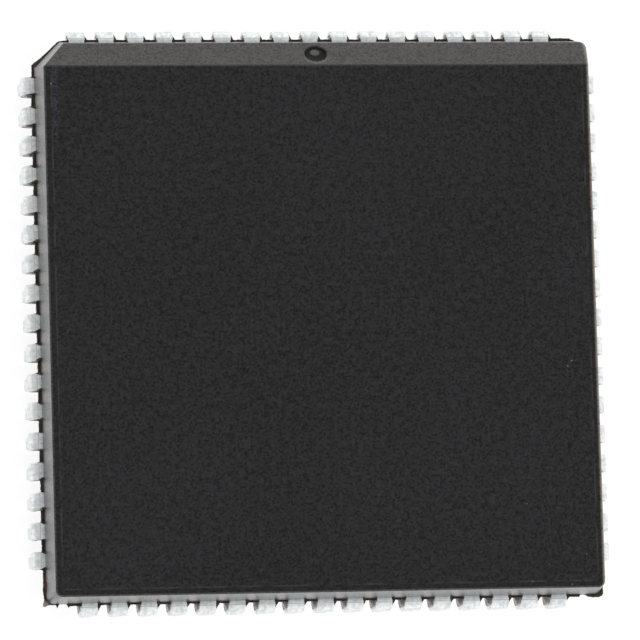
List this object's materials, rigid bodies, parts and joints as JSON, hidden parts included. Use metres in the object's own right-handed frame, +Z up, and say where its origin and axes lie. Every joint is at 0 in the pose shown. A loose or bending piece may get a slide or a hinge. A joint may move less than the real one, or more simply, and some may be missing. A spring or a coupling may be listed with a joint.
{
  "type": "plcc chip",
  "caption": "Square plastic leaded chip carrier with J leads on every side, a sloped pin 1 side with a round mark and one chamfered corner.",
  "frame": {"origin": "centre of the seating plane, which the feet of all the leads touch", "axes": "+Z up out of the board, +Y towards the sloped side with pin 1 in its middle, +X to the right as seen from above with pin 1 at the top; pins are counted anticlockwise as seen from above"},
  "size_m": [0.025, 0.025, 0.0044],
  "materials": {
    "moulding_compound": "fine spark eroded mould texture, dusty",
    "tin_plate": "bright satin tin over copper",
    "silicon": "polished",
    "silver_glue": "matt"
  },
  "bodies": {
    "root": {"body": "moulding_compound", "die": "silicon", "die_attach": "silver_glue", "die_paddle": "tin_plate", "lead_02": "tin_plate", "lead_03": "tin_plate", "lead_04": "tin_plate", "lead_05": "tin_plate", "lead_07": "tin_plate", "lead_08": "tin_plate", "lead_09": "tin_plate", "lead_10": "tin_plate", "lead_11": "tin_plate", "lead_12": "tin_plate", "lead_14": "tin_plate", "lead_15": "tin_plate", "lead_16": "tin_plate", "lead_17": "tin_plate", "lead_19": "tin_plate", "lead_20": "tin_plate", "lead_21": "tin_plate", "lead_22": "tin_plate", "lead_24": "tin_plate", "lead_25": "tin_plate", "lead_26": "tin_plate", "lead_27": "tin_plate", "lead_28": "tin_plate", "lead_29": "tin_plate", "lead_31": "tin_plate", "lead_32": "tin_plate", "lead_33": "tin_plate", "lead_34": "tin_plate", "lead_36": "tin_plate", "lead_37": "tin_plate", "lead_38": "tin_plate", "lead_39": "tin_plate", "lead_41": "tin_plate", "lead_42": "tin_plate", "lead_43": "tin_plate", "lead_44": "tin_plate", "lead_45": "tin_plate", "lead_46": "tin_plate", "lead_48": "tin_plate", "lead_49": "tin_plate", "lead_50": "tin_plate", "lead_51": "tin_plate", "lead_53": "tin_plate", "lead_54": "tin_plate", "lead_55": "tin_plate", "lead_56": "tin_plate", "lead_58": "tin_plate", "lead_59": "tin_plate", "lead_60": "tin_plate", "lead_61": "tin_plate", "lead_62": "tin_plate", "lead_63": "tin_plate", "lead_65": "tin_plate", "lead_66": "tin_plate", "lead_67": "tin_plate", "lead_68": "tin_plate"}
  },
  "joints": []
}
